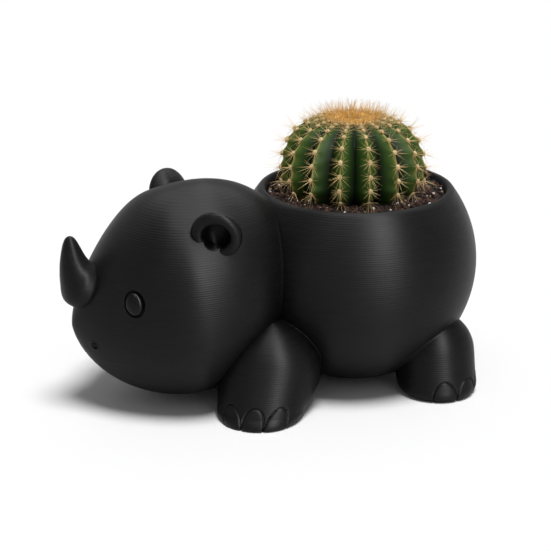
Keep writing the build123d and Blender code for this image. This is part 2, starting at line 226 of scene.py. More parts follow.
def newGroup(name, inputs, outputs):
    group = bpy.data.node_groups.new(name, "ShaderNodeTree")
    for label, kind, value in inputs:
        socket = group.interface.new_socket(label, in_out="INPUT", socket_type=kind)
        if value is not None:
            socket.default_value = value
    for label, kind in outputs:
        group.interface.new_socket(label, in_out="OUTPUT", socket_type=kind)
    return group, group.nodes.new("NodeGroupInput"), group.nodes.new("NodeGroupOutput")


def mathNode(tree, operation, first, second=None):
    node = tree.nodes.new("ShaderNodeMath")
    node.operation = operation
    for socket, value in zip(node.inputs, (first, second)):
        if value is None:
            continue
        if isinstance(value, (int, float)):
            socket.default_value = value
        else:
            tree.links.new(value, socket)
    return node.outputs[0]


def times(tree, first, second):
    return mathNode(tree, "MULTIPLY", first, second)


def plus(tree, first, second):
    return mathNode(tree, "ADD", first, second)


def noiseNode(tree, vector, scale, detail=3.0, rough=0.5, dimensions="3D"):
    node = tree.nodes.new("ShaderNodeTexNoise")
    node.noise_dimensions = dimensions
    if isinstance(scale, (int, float)):
        node.inputs["Scale"].default_value = scale
    else:
        tree.links.new(scale, node.inputs["Scale"])
    node.inputs["Detail"].default_value = detail
    node.inputs["Roughness"].default_value = rough
    tree.links.new(vector, node.inputs["W" if dimensions == "1D" else "Vector"])
    return node


def rampNode(tree, value, stops):
    node = tree.nodes.new("ShaderNodeValToRGB")
    ramp = node.color_ramp
    ramp.elements[0].position, ramp.elements[0].color = stops[0][0], (*stops[0][1], 1)
    ramp.elements[1].position, ramp.elements[1].color = stops[-1][0], (*stops[-1][1], 1)
    for position, colour in stops[1:-1]:
        ramp.elements.new(position).color = (*colour, 1)
    tree.links.new(value, node.inputs["Fac"])
    return node.outputs["Color"]


def layerLineGroup():  # the level lines that a printer leaves, stronger in places
    group, given, made = newGroup(
        "layerLines",
        [("Vector", "NodeSocketVector", None), ("Lines per metre", "NodeSocketFloat", 1100.0)],
        [("Height", "NodeSocketFloat"), ("Streak", "NodeSocketFloat")],
    )
    split = group.nodes.new("ShaderNodeSeparateXYZ")
    group.links.new(given.outputs["Vector"], split.inputs[0])
    level = times(group, split.outputs["Z"], given.outputs["Lines per metre"])
    wave = mathNode(group, "SINE", times(group, level, math.tau))
    flat = group.nodes.new("ShaderNodeCombineXYZ")  # dashes, long along the layers and thin across them
    for axis in "XY":
        group.links.new(times(group, split.outputs[axis], 70.0), flat.inputs[axis])
    group.links.new(times(group, level, 0.73), flat.inputs["Z"])
    streak = noiseNode(group, flat.outputs[0], 1.0, 2.0, 0.6).outputs["Fac"]
    patch = noiseNode(group, given.outputs["Vector"], 55.0, 2.0).outputs["Fac"]
    ripple = times(group, wave, patch)
    height = plus(group, ripple, times(group, streak, 2.6))
    group.links.new(height, made.inputs["Height"])
    group.links.new(streak, made.inputs["Streak"])
    return group


def grainGroup():  # fine pitting and slow unevenness
    group, given, made = newGroup(
        "surfaceGrain",
        [("Vector", "NodeSocketVector", None), ("Fine scale", "NodeSocketFloat", 2500.0),
         ("Broad scale", "NodeSocketFloat", 40.0)],
        [("Fine", "NodeSocketFloat"), ("Broad", "NodeSocketFloat")],
    )
    fine = noiseNode(group, given.outputs["Vector"], given.outputs["Fine scale"], 2.0)
    broad = noiseNode(group, given.outputs["Vector"], given.outputs["Broad scale"], 3.0)
    group.links.new(fine.outputs["Fac"], made.inputs["Fine"])
    group.links.new(broad.outputs["Fac"], made.inputs["Broad"])
    return group


layerLines = layerLineGroup()
surfaceGrain = grainGroup()


def newMaterial(name, roughness, specular=0.5):
    material = bpy.data.materials.new(name)
    material.use_nodes = True
    tree = material.node_tree
    shader = tree.nodes["Principled BSDF"]
    shader.inputs["Roughness"].default_value = roughness
    shader.inputs["Specular IOR Level"].default_value = specular
    place = tree.nodes.new("ShaderNodeTexCoord").outputs["Object"]
    return material, tree, shader, place


def groupNode(tree, group, place, **values):
    node = tree.nodes.new("ShaderNodeGroup")
    node.node_tree = group
    tree.links.new(place, node.inputs["Vector"])
    for label, value in values.items():
        node.inputs[label.replace("_", " ")].default_value = value
    return node


def spread(tree, value, low, high):  # a 0 to 1 value to a range
    node = tree.nodes.new("ShaderNodeMapRange")
    node.inputs["To Min"].default_value = low
    node.inputs["To Max"].default_value = high
    tree.links.new(value, node.inputs["Value"])
    return node.outputs["Result"]


def bumpNode(tree, height, strength, distance, under=None):
    node = tree.nodes.new("ShaderNodeBump")
    node.inputs["Strength"].default_value = strength
    node.inputs["Distance"].default_value = distance * mm
    tree.links.new(height, node.inputs["Height"])
    if under:
        tree.links.new(under, node.inputs["Normal"])
    return node.outputs["Normal"]


def speckled(tree, value, grain, amount):  # a value moved a little up and down by the broad grain
    offset = mathNode(tree, "SUBTRACT", grain.outputs["Broad"], 0.5)
    return plus(tree, value, times(tree, offset, amount))


def printedPlastic(name, dark, light, roughness, lineBump, linesPerMetre):
    material, tree, shader, place = newMaterial(name, roughness, 0.15)
    level = tree.nodes.new("ShaderNodeCombineXYZ")  # the layers spread the light up and down
    level.inputs["Z"].default_value = 1.0
    tree.links.new(level.outputs[0], shader.inputs["Tangent"])
    shader.inputs["Anisotropic"].default_value = 0.7
    lines = groupNode(tree, layerLines, place, Lines_per_metre=linesPerMetre)
    grain = groupNode(tree, surfaceGrain, place)
    mix = plus(tree, times(tree, lines.outputs["Streak"], 0.5), times(tree, grain.outputs["Broad"], 0.5))
    tree.links.new(rampNode(tree, mix, [(0.35, dark), (0.65, light)]), shader.inputs["Base Color"])
    rough = spread(tree, grain.outputs["Broad"], roughness - 0.07, roughness + 0.07)
    tree.links.new(rough, shader.inputs["Roughness"])
    pits = bumpNode(tree, grain.outputs["Fine"], 0.12, 0.05)
    tree.links.new(bumpNode(tree, lines.outputs["Height"], lineBump, 0.035, pits), shader.inputs["Normal"])
    return material


plasticBlack = (0.0030, 0.0030, 0.0032)
bodyPlastic = printedPlastic("bodyPlastic", plasticBlack, (0.0056, 0.0056, 0.0058), 0.5, 1.0, 1080.0)
legPlastic = printedPlastic("legPlastic", plasticBlack, (0.0054, 0.0054, 0.0056), 0.5, 0.9, 1080.0)
eyePlastic = printedPlastic("eyePlastic", plasticBlack, (0.0045, 0.0045, 0.0047), 0.36, 0.3, 1300.0)


def soilMaterial():
    material, tree, shader, place = newMaterial("pottingMix", 0.9, 0.25)
    grain = groupNode(tree, surfaceGrain, place, Fine_scale=900.0, Broad_scale=260.0)
    colours = [(0.3, (0.004, 0.002, 0.0015)), (0.5, (0.014, 0.006, 0.0035)), (0.62, (0.045, 0.017, 0.009)),
               (0.75, (0.10, 0.045, 0.025))]
    tree.links.new(rampNode(tree, grain.outputs["Broad"], colours), shader.inputs["Base Color"])
    half = times(tree, grain.outputs["Fine"], 0.5)
    height = plus(tree, grain.outputs["Broad"], half)
    tree.links.new(bumpNode(tree, height, 1.0, 1.2), shader.inputs["Normal"])
    return material


def plainGrained(name, dark, light, roughness, scale, bump):  # chips, wool and perlite
    material, tree, shader, place = newMaterial(name, roughness, 0.3)
    grain = groupNode(tree, surfaceGrain, place, Fine_scale=scale * 4, Broad_scale=scale)
    tree.links.new(rampNode(tree, grain.outputs["Broad"], [(0.3, dark), (0.7, light)]), shader.inputs["Base Color"])
    tree.links.new(bumpNode(tree, grain.outputs["Fine"], bump, 0.3), shader.inputs["Normal"])
    return material


def attributeValue(tree, name):
    node = tree.nodes.new("ShaderNodeAttribute")
    node.attribute_name = name
    return node.outputs["Fac"]


def cactusMaterial():
    material, tree, shader, place = newMaterial("cactusSkin", 0.5, 0.1)
    grain = groupNode(tree, surfaceGrain, place, Fine_scale=1400.0, Broad_scale=120.0)
    ridge = speckled(tree, attributeValue(tree, "ridge"), grain, 0.12)
    # Painted shade: the green darkens to near black towards the valleys and turns lighter towards the crests, with a
    # golden line on the crest.
    colours = [(0.05, (0.002, 0.007, 0.001)), (0.35, (0.012, 0.034, 0.004)), (0.7, (0.036, 0.080, 0.011)),
               (0.9, (0.075, 0.125, 0.020)), (0.975, (0.30, 0.26, 0.07))]
    tree.links.new(rampNode(tree, ridge, colours), shader.inputs["Base Color"])
    tree.links.new(spread(tree, grain.outputs["Broad"], 0.42, 0.6), shader.inputs["Roughness"])
    tree.links.new(bumpNode(tree, grain.outputs["Fine"], 0.25, 0.12), shader.inputs["Normal"])
    return material


def spineMaterial(name, colours):
    material, tree, shader, place = newMaterial(name, 0.42, 0.4)
    grain = groupNode(tree, surfaceGrain, place, Fine_scale=900.0, Broad_scale=160.0)
    along = speckled(tree, attributeValue(tree, "along"), grain, 0.5)
    tree.links.new(rampNode(tree, along, colours), shader.inputs["Base Color"])
    tree.links.new(bumpNode(tree, grain.outputs["Fine"], 0.1, 0.05), shader.inputs["Normal"])
    return material


soilMix = soilMaterial()
cactusSkin = cactusMaterial()
goldenSpines = spineMaterial("goldenSpines", [
    (0.0, (0.74, 0.46, 0.14)), (0.45, (0.90, 0.66, 0.30)), (0.8, (0.78, 0.50, 0.19)), (1.0, (0.40, 0.19, 0.07))])
crownGold = spineMaterial("crownGold", [
    (0.0, (0.72, 0.32, 0.035)), (0.4, (0.92, 0.56, 0.12)), (0.8, (0.84, 0.50, 0.13)), (1.0, (0.30, 0.12, 0.04))])
tanWool = plainGrained("tanWool", (0.46, 0.31, 0.13), (0.88, 0.70, 0.40), 0.95, 700.0, 0.8)
crownWool = plainGrained("crownWool", (0.55, 0.24, 0.03), (0.88, 0.56, 0.15), 0.95, 450.0, 0.9)
redChips = plainGrained("redChips", (0.025, 0.010, 0.006), (0.12, 0.045, 0.025), 0.85, 500.0, 0.6)
tanChips = plainGrained("tanChips", (0.12, 0.075, 0.04), (0.36, 0.25, 0.15), 0.85, 500.0, 0.6)
perlite = plainGrained("perlite", (0.62, 0.60, 0.56), (0.82, 0.80, 0.76), 0.9, 600.0, 0.6)
print("materials are ready")

# Pot: a ball with a rounded lip and a tapered cup

pot = {
    "radius": 55.8, "middle": 54.4, "lipHeight": 89.2, "belly": 4.0, "lipWidth": 2.4, "lipRound": 1.15,
    "cupTaper": 5.5, "cupFloor": 12.0, "cupCorner": 8.0, "drain": 5.0, "flat": 14.0, "steps": 256,
}
ballCentre = Vector((0, 0, pot["middle"]))
lipRadius = math.sqrt(pot["radius"] ** 2 - (pot["lipHeight"] - pot["middle"]) ** 2)
mouthRadius = lipRadius - pot["lipWidth"]


def ballRadiusAt(height):
    return math.sqrt(pot["radius"] ** 2 - (height - pot["middle"]) ** 2)


def cupLine(gap):  # the cup's wall from the floor's corner up to the mouth
    floor = pot["cupFloor"] + gap
    slope = pot["cupTaper"] / (pot["lipHeight"] - pot["cupFloor"])
    line = []
    for step in range(9):
        turn = math.radians(90 * step / 8)
        corner = pot["cupCorner"]
        radius = mouthRadius - pot["cupTaper"] - gap + slope * corner
        line.append((radius - corner + corner * math.sin(turn), floor + corner - corner * math.cos(turn)))
    return line


potProfile = [(pot["drain"], pot["belly"]), (pot["flat"], pot["belly"])]
low = math.asin((pot["belly"] - pot["middle"]) / pot["radius"])
high = math.asin((pot["lipHeight"] - 0.7 - pot["middle"]) / pot["radius"])
for step in range(73):
    turn = low + (high - low) * step / 72
    potProfile.append((pot["radius"] * math.cos(turn), pot["middle"] + pot["radius"] * math.sin(turn)))
edge = pot["lipRound"]
for step in range(1, 11):  # the rounded lip
    turn = math.radians(40 + 140 * step / 10)
    potProfile.append((
        mouthRadius + edge + edge * math.cos(turn) + (0.1 if step < 10 else 0),
        pot["lipHeight"] - edge + edge * math.sin(turn),
    ))
for step in range(1, 13):
    share = step / 12
    corner = cupLine(0)[-1]
    potProfile.append((
        mouthRadius + (corner[0] - mouthRadius) * share,
        pot["lipHeight"] - edge + (corner[1] - pot["lipHeight"] + edge) * share,
    ))
potProfile += cupLine(0)[-2::-1] + [(pot["flat"], pot["cupFloor"]), (pot["drain"], pot["cupFloor"])]
potProfile.append(potProfile[0])
potBody = spinProfile(potProfile, pot["steps"])
potBody.location = potAxis
finishPiece(potBody, "potBody", bodyPlastic, "planter", ["pot_shell"], 50)
print("pot is made")

# Head: a full egg that points down a little, pulled from a sphere

head = {
    "centre": (0, -84.9, 49.6), "pitch": 11.9, "halfHeight": 47.2, "halfWidth": 43.0,
    "muzzle": 50.6, "nape": 55.0, "bridge": 1.38, "chin": 1.89, "crown": 2.54, "throat": 1.5,
    "cheek": 1.43, "side": 2.0, "soft": 0.15, "segments": 288, "front": 150, "cap": 8,
    "edge": (  # share ahead of the seam and stand off the head, for the raised edge
        (0.034, 0.0), (0.026, 0.05), (0.019, 0.22), (0.013, 0.36), (0.008, 0.40), (0.003, 0.30), (-0.003, 0.02),
    ),
    "blend": 12, "under": 0.7,
}
headCentre = Vector(head["centre"])
tip = math.radians(head["pitch"])
headForward = Vector((0, -math.cos(tip), -math.sin(tip)))
headUp = Vector((0, -math.sin(tip), math.cos(tip)))
headSide = Vector((1, 0, 0))


def fullness(share, power):
    return max(0.0, 1 - abs(share) ** power) ** (1 / power)


def softFullness(share, power):  # without the sharp turn that a low power has at the widest place
    if share < 0 or power > 2:
        return fullness(share, power)
    soft, half = head["soft"], power / 2
    drop = ((share ** 2 + soft ** 2) ** half - soft ** power) / ((1 + soft ** 2) ** half - soft ** power)
    return max(0.0, 1 - drop) ** (1 / power)


def softProfile(front, back):  # the two halves' curves, blended where they meet
    raw = [softFullness(k / 200 - 1, back if k < 200 else front) for k in range(401)]
    soft = []
    for k in range(401):
        wide = head["blend"] * ease((100 - abs(k - 200)) / 80)
        if wide < 0.5:
            soft.append(raw[k])
            continue
        near = range(-3 * head["blend"], 3 * head["blend"] + 1)
        weights = [(math.exp(-0.5 * (j / wide) ** 2), raw[min(400, max(0, k + j))]) for j in near]
        soft.append(sum(w * value for w, value in weights) / sum(w for w, value in weights))
    return soft


profiles = {
    "above": softProfile(head["bridge"], head["crown"]),
    "below": softProfile(head["chin"], head["throat"]),
    "across": softProfile(head["cheek"], head["side"]),
}


def profileAt(name, share):
    if abs(share) > 0.6:
        powers = {"above": ("bridge", "crown"), "below": ("chin", "throat"), "across": ("cheek", "side")}[name]
        return softFullness(share, head[powers[share < 0]])
    at = (share + 1) * 200
    whole = int(at)
    return profiles[name][whole] + (profiles[name][whole + 1] - profiles[name][whole]) * (at - whole)


def headPoint(share, angle, stand=0.0):  # share along the axis, degrees up from the left side
    above = (head["halfHeight"] + stand) * profileAt("above", share)
    below = (head["halfHeight"] + stand) * profileAt("below", share)
    across = (head["halfWidth"] + stand) * profileAt("across", share)
    along = share * ((head["nape"] if share < 0 else head["muzzle"]) + stand)
    turn = math.radians(angle)
    up = (above - below) / 2 + (above + below) / 2 * math.sin(turn)
    return headCentre + headForward * along + headUp * up + headSide * across * math.cos(turn)


def headFrame(share, angle):  # a place on the head with its run, rise and outward directions
    origin = headPoint(share, angle)
    run = (headPoint(share + 0.01, angle) - origin).normalized()
    rise = headPoint(share, angle + 1) - origin
    out = rise.cross(run).normalized()
    return origin, run, out.cross(run) * -1, out


def seamShare(angle):  # where the head's surface meets the ball
    low, high = -0.985, 0.0
    for step in range(40):
        middle = (low + high) / 2
        inside = (headPoint(middle, angle) - ballCentre).length < pot["radius"]
        low, high = (middle, high) if inside else (low, middle)
    return high


seams = [seamShare(360 * column / head["segments"]) for column in range(head["segments"])]
seamPlaces = [headPoint(share, 360 * column / head["segments"]) for column, share in enumerate(seams)]
capWay = sum(((place - ballCentre).normalized() for place in seamPlaces), Vector()).normalized()
headRows = head["front"] + len(head["edge"]) + head["cap"]


def placeHead(row, column):
    angle = 360 * column / head["segments"]
    seam = seams[column]
    if row <= head["front"]:
        last = seam + head["edge"][0][0]
        share = 1 - (1 - last) * (1 - math.cos(row / head["front"] * math.pi / 2))
        return headPoint(share, angle)
    step = row - head["front"]
    if step < len(head["edge"]):
        ahead, stand = head["edge"][step]
        return headPoint(seam + ahead, angle, stand)
    step = (step - len(head["edge"])) / head["cap"]
    way = (seamPlaces[column] - ballCentre).normalized().lerp(capWay, step).normalized()
    return ballCentre + way * (pot["radius"] - head["under"])


headBody = roundForm(head["segments"], headRows, placeHead)

eye = {
    "share": 0.535, "angle": 25.8, "halfWidth": 4.0, "halfHeight": 4.9, "tilt": -14.0,
    "groove": 0.85, "depth": 1.4, "lip": 0.10, "proud": 1.9, "root": 1.6, "rows": 28, "columns": 96,
}
nostril = {"share": 0.895, "angle": -12.3, "radius": 1.5, "depth": 1.0, "rim": 0.18}


def eyeFrame():
    origin, run, rise, out = headFrame(eye["share"], eye["angle"])
    lean = Matrix.Rotation(math.radians(eye["tilt"]), 3, out)
    return origin, lean @ run, lean @ rise, out


def carveEye(place, origin, run, rise, out):
    local = place - origin
    u, v = local.dot(run), local.dot(rise)
    reach = math.hypot(u / (eye["halfWidth"] + eye["groove"]), v / (eye["halfHeight"] + eye["groove"]))
    lip = eye["lip"] * math.exp(-((reach - 1.10) / 0.07) ** 2)
    return out * (lip - eye["depth"] * ease((1.02 - reach) / 0.10))


def carveNostril(place, origin, run, rise, out):
    reach = (place - origin).length / nostril["radius"]
    ring = math.exp(-((reach - 0.75) / 0.3) ** 2)  # a small ringed dimple
    rim = nostril["rim"] * math.exp(-((reach - 1.4) / 0.25) ** 2)
    return out * (rim - nostril["depth"] * (0.75 * ring + 0.35 * ease(1.2 - reach)))


ear = {
    "share": -0.2341, "angle": 41.62, "stand": 2.7, "turn": 30.0, "droop": 13.0,
    "hollow": 5.9, "pocket": -6.3, "steps": 160,
    "profile": (  # radius and height of the cup, from the middle of its back to the middle of its hollow
        (0.0, -7.0), (3.4, -6.6), (6.6, -5.2), (9.2, -3.0), (10.75, -0.8), (11.1, 0.7), (10.6, 2.1),
        (9.4, 3.05), (7.9, 3.3), (6.7, 2.8), (6.1, 2.0), (5.9, 0.8), (5.7, -0.8), (5.2, -2.5),
        (4.1, -4.1), (2.3, -5.2), (0.0, -5.6),
    ),
}
earPlace = headPoint(ear["share"], ear["angle"], ear["stand"])
facing = Vector((
    math.cos(math.radians(ear["turn"])) * math.cos(math.radians(ear["droop"])),
    -math.sin(math.radians(ear["turn"])) * math.cos(math.radians(ear["droop"])),
    -math.sin(math.radians(ear["droop"])),
))


def carvePocket(place, origin, run, rise, out):  # the head's wall stays behind the ear's hollow
    local = place - origin
    along = local.dot(facing)
    aside = (local - facing * along).length
    return facing * min(0.0, ear["pocket"] - along) * ease((ear["hollow"] + 0.1 - aside) / 0.9)


details = (  # frame, reach of the finer faces, reach of the carving, cuts and carving
    (eyeFrame(), 8.5, 9.0, 3, carveEye),
    (headFrame(nostril["share"], nostril["angle"]), 3.4, 3.6, 3, carveNostril),
    ((earPlace, headSide, headUp, facing), 9.0, 12.0, 2, carvePocket),
)
for side in (1, -1):
    for frameOf, fine, reach, cuts, carve in details:
        refine(headBody, (frameOf[0].x * side, frameOf[0].y, frameOf[0].z), fine, cuts)
for vertex in headBody.data.vertices:
    place = (vertex.co - potAxis) / mm
    side = math.copysign(1, place.x)
    place.x *= side
    for frameOf, fine, reach, cuts, carve in details:
        if (place - frameOf[0]).length < reach:
            move = carve(place, *frameOf) * mm
            vertex.co += Vector((move.x * side, move.y, move.z))
finishPiece(headBody, "headShell", bodyPlastic, "planter", ["head_shell"], 60)
print("head is made")

# Eyes, domed ovals that fill their grooves


def placeEye(row, column):
    origin, run, rise, out = eyeFrame()
    polar, turn = math.pi * row / eye["rows"], math.tau * column / eye["columns"]
    across = math.sin(polar) ** 0.8
    height = math.cos(polar)
    lift = eye["proud" if height > 0 else "root"] * height
    return (origin + run * eye["halfWidth"] * across * math.cos(turn)
            + rise * eye["halfHeight"] * across * math.sin(turn) + out * lift)


leftEye = roundForm(eye["columns"], eye["rows"], placeEye)
finishPair(leftEye, ("leftEye", "rightEye"), eyePlastic, ("left_eye", "right_eye"), 50)

# Horn: a thorn that bends forward and then up

horn = {
    "share": 0.815, "radius": 10.8, "height": 22.8, "root": 5.0, "rootShare": 0.12, "sunk": 0.5,
    "rows": 84, "columns": 128,
    "stations": (  # forward, up, tilt and radius, as shares of the height and of the foot
        (0.0, 0.0, 63.0, 1.0), (0.12, 0.1, 53.0, 0.95), (0.17, 0.285, 42.0, 0.755),
        (0.2, 0.485, 30.0, 0.58), (0.217, 0.685, 19.0, 0.43), (0.224, 0.86, 7.0, 0.29),
        (0.226, 0.96, 2.0, 0.16), (0.224, 1.0, 0.0, 0.0),
    ),
}
hornFoot = headPoint(horn["share"], 90) - headUp * horn["sunk"]
hornLine = smoothLine(horn["stations"], 200)


def placeHorn(row, column):
    way = 1 - row / horn["rows"]  # 1 at the tip
    turn = math.tau * column / horn["columns"]
    rooted = horn["rootShare"]
    if way < rooted:  # the root, inside the head
        forward, up, tilt, radius = horn["stations"][0]
        sink = (rooted - way) / rooted
        radius *= 1 - sink ** 3
        drop = horn["root"] * min(1.0, sink * 1.4)
    else:
        at = (1 - ((1 - way) / 0.88) ** 1.7) * 200
        whole = min(199, int(at))
        forward, up, tilt, radius = (
            a + (b - a) * (at - whole) for a, b in zip(hornLine[whole], hornLine[whole + 1])
        )
        drop = 0
    lean = math.radians(tilt)
    ahead = Vector((0, -math.cos(lean), -math.sin(lean)))
    up = hornFoot + Vector((0, -forward, up)) * horn["height"]
    axis = Vector((0, -math.sin(lean), math.cos(lean)))
    ring = (headSide * math.cos(turn) + ahead * math.sin(turn)) * horn["radius"] * max(0.0, radius)
    return up + ring - axis * drop


hornBody = roundForm(horn["columns"], horn["rows"], placeHorn)
finishPiece(hornBody, "horn", bodyPlastic, "planter", ["horn"], 60)

# Ears: thick round cups with a rolled rim, half sunk in the head

leftEar = spinProfile(smoothLine(ear["profile"], 80), ear["steps"])
across = facing.cross(Vector((0, 0, 1))).normalized()
turned = Matrix((across, facing.cross(across), facing)).transposed().to_4x4()
leftEar.data.transform(Matrix.Translation(real(earPlace)) @ turned)
finishPair(leftEar, ("leftEar", "rightEar"), bodyPlastic, ("left_ear", "right_ear"), 50)
print("face is made")

# Legs: round feet that lean into round shoulders and flow into the ball

legs = {
    "front": {"foot": (38.5, -61.8), "footRadius": 19.6, "shoulder": (26.3, -52.2), "shoulderRadius": 23.0,
              "shoulderHeight": 17.4, "nailTurn": 58.0, "nailSpacing": 32.0, "nailHalfWidth": 5.1},
    "rear": {"foot": (39.1, 24.9), "footRadius": 18.1, "shoulder": (33.0, 25.4), "shoulderRadius": 18.6,
             "shoulderHeight": 16.9, "nailTurn": 116.0, "nailSpacing": 38.0, "nailHalfWidth": 5.8},
    "soleRound": 5.0, "fillet": 0.5, "lowTouch": -15.0, "columns": 420, "fineTop": 12.5,
    "soleRows": 4, "fineRows": 44, "sideRows": 30, "filletRows": 4, "rootRows": 3,
    "nailHeight": 9.2, "nailTop": 11.5, "grooveDepth": 0.65, "grooveWidth": 0.32, "nailDome": 0.3,
}


def legAxis(leg):  # the middles of the foot and of the shoulder
    return Vector((*leg["foot"], 0)), Vector((*leg["shoulder"], leg["shoulderHeight"]))


def legPath(leg, turn):  # one line from the sole's edge up the leg and over its shoulder
    out = ringPoint(1, turn)
    foot, shoulder = legAxis(leg)
    line, edge = [], legs["soleRound"]
    for k in range(31):
        height = edge * (1 - math.cos(math.radians(3 * k)))
        radius = leg["footRadius"] - edge + math.sqrt(max(0.0, edge ** 2 - (edge - height) ** 2))
        line.append(foot.lerp(shoulder, height / shoulder.z) + out * radius)
    below = shoulder - line[-1]
    lean = math.atan2(below.z, -below.dot(out))
    touch = math.acos(min(1.0, leg["shoulderRadius"] / math.hypot(below.z, below.dot(out))))
    rise = max(touch - lean, math.radians(legs["lowTouch"]))  # where the side meets the round shoulder
    start = out * math.cos(rise) + Vector((0, 0, math.sin(rise)))
    line += [line[30].lerp(shoulder + start * leg["shoulderRadius"], k / 40) for k in range(1, 41)]
    away = (Vector((-shoulder.x, -shoulder.y, 0)).normalized() * 0.8 + Vector((0, 0, 0.6))).normalized()
    angle = start.angle(away)
    for k in range(1, 91):  # the shoulder's round top, towards the middle of the ball
        t = k / 90
        way = (start * math.sin((1 - t) * angle) + away * math.sin(t * angle)) / math.sin(angle)
        line.append(shoulder + way * leg["shoulderRadius"])
    return line


def runAlong(line, lengths, at):
    for k in range(len(lengths) - 1):
        if lengths[k + 1] >= at:
            t = (at - lengths[k]) / max(1e-9, lengths[k + 1] - lengths[k])
            return line[k].lerp(line[k + 1], t)
    return line[-1].copy()


def legColumn(leg, turn):  # the rows of one column, from the sole's middle to the root in the ball
    line = legPath(leg, turn)
    lengths = [0.0]
    for a, b in zip(line, line[1:]):
        lengths.append(lengths[-1] + (b - a).length)
    meet = next(k for k, place in enumerate(line) if (place - ballCentre).length < pot["radius"])
    before, after = ((line[k] - ballCentre).length - pot["radius"] for k in (meet - 1, meet))
    touchAt = lengths[meet - 1] + (lengths[meet] - lengths[meet - 1]) * before / (before - after)
    touch = runAlong(line, lengths, touchAt)
    start = touchAt - legs["fillet"]
    fineAt = next(lengths[k] for k, place in enumerate(line) if place.z >= legs["fineTop"])
    fineAt = min(fineAt, start * 0.9)
    foot, shoulder = legAxis(leg)
    rows = [foot.lerp(line[0], k / legs["soleRows"]) for k in range(legs["soleRows"])]
    rows += [runAlong(line, lengths, fineAt * k / legs["fineRows"]) for k in range(legs["fineRows"])]
    side = start - fineAt
    rows += [runAlong(line, lengths, fineAt + side * k / legs["sideRows"]) for k in range(legs["sideRows"])]
    normal = (touch - ballCentre).normalized()
    axis = shoulder if touch.z > shoulder.z else foot.lerp(shoulder, touch.z / shoulder.z)
    out = touch - axis
    slide = (out - normal * out.dot(normal)).normalized()
    begin = runAlong(line, lengths, start)
    end = ballCentre + (touch + slide * legs["fillet"] - ballCentre).normalized() * (pot["radius"] - 0.02)
    for k in range(legs["filletRows"] + 1):
        t = k / legs["filletRows"]
        rows.append(begin * (1 - t) ** 2 + touch * 2 * t * (1 - t) + end * t * t)
    root = ballCentre + (shoulder + Vector((0, 0, 8)) - ballCentre).normalized() * (pot["radius"] - 3)
    sunk = ballCentre + (end - ballCentre).normalized() * (pot["radius"] - 1.2)
    rows += [sunk.lerp(root, k / legs["rootRows"]) for k in range(legs["rootRows"] + 1)]
    return rows


def carveNails(piece, leg):
    foot, shoulder = legAxis(leg)
    for vertex in piece.data.vertices:
        place = (vertex.co - potAxis) / mm
        if place.z > legs["nailTop"]:
            continue
        axis = foot.lerp(shoulder, place.z / shoulder.z)
        local = Vector((place.x - axis.x, place.y - axis.y))
        if local.length < leg["footRadius"] - legs["soleRound"] - 0.5:
            continue
        for step in (-1, 0, 1):
            middle = math.radians(leg["nailTurn"] + step * leg["nailSpacing"] - 90)
            aside = (math.atan2(local.y, local.x) - middle + math.pi) % math.tau - math.pi
            u, v = aside * leg["footRadius"], place.z
            reach = math.hypot(u / leg["nailHalfWidth"], v / legs["nailHeight"])
            if abs(aside) > 1 or reach > 1.4:
                continue
            slope = math.hypot(u / leg["nailHalfWidth"] ** 2, v / legs["nailHeight"] ** 2)
            slope /= max(reach, 0.05)
            gap = (reach - 1) / max(slope, 0.02)
            move = -legs["grooveDepth"] * math.exp(-((gap - 0.3) / legs["grooveWidth"]) ** 2)
            if reach < 1:
                move += legs["nailDome"] * math.sqrt(1 - reach ** 2)
            fade = ease((local.length - leg["footRadius"] + 4.5) / 2.0)
            vertex.co += Vector((local.x, local.y, 0)).normalized() * move * fade * mm


def makeLeg(leg, name, nodes):
    columns = [legColumn(leg, math.tau * k / legs["columns"]) for k in range(legs["columns"])]
    rows = len(columns[0]) - 1
    piece = roundForm(legs["columns"], rows, lambda row, column: columns[column][row])
    top, clear = leg["shoulderHeight"], pot["radius"] + 0.15
    selectWhere(piece, lambda place: top - 7 < place.z < top + 9 and (place - ballCentre).length > clear)
    setMode("EDIT")
    bpy.ops.mesh.select_mode(type="VERT")
    bpy.ops.mesh.vertices_smooth(factor=0.5, repeat=8)
    setMode("OBJECT")
    carveNails(piece, leg)
    finishPair(piece, (name + "LeftLeg", name + "RightLeg"), legPlastic, nodes, 70)


makeLeg(legs["front"], "front", ["front_left_leg", "front_right_leg"])
makeLeg(legs["rear"], "rear", ["rear_left_leg", "rear_right_leg"])
print("legs are made")

# Tail: a small blunt cone lying on the rump

tail = {
    "height": 44.0, "length": 17.0, "root": 3.4, "tip": 2.2, "proud": 3.0, "slope": 16.0,
    "rows": 40, "columns": 64,
}
slope = math.radians(tail["slope"])
tailDown = Vector((0, -math.sin(slope), -math.cos(slope)))
tailOut = Vector((0, math.cos(slope), -math.sin(slope)))
tailStart = Vector((0, ballRadiusAt(tail["height"]) + tail["proud"] - tail["root"], tail["height"]))


def placeTail(row, column):
    way, turn = math.pi * row / tail["rows"], math.tau * column / tail["columns"]
    share = (1 - math.cos(way)) / 2
    radius = (tail["root"] + (tail["tip"] - tail["root"]) * share) * math.sin(way) ** 0.45
    centre = tailStart + tailDown * (share * tail["length"] - tail["root"])
    return centre + headSide * radius * math.cos(turn) + tailOut * radius * math.sin(turn)


tailBody = roundForm(tail["columns"], tail["rows"], placeTail)
finishPiece(tailBody, "tail", bodyPlastic, "planter", ["tail"], 60)

# Potting mix: the root ball that fills the cup, with loose chips on top

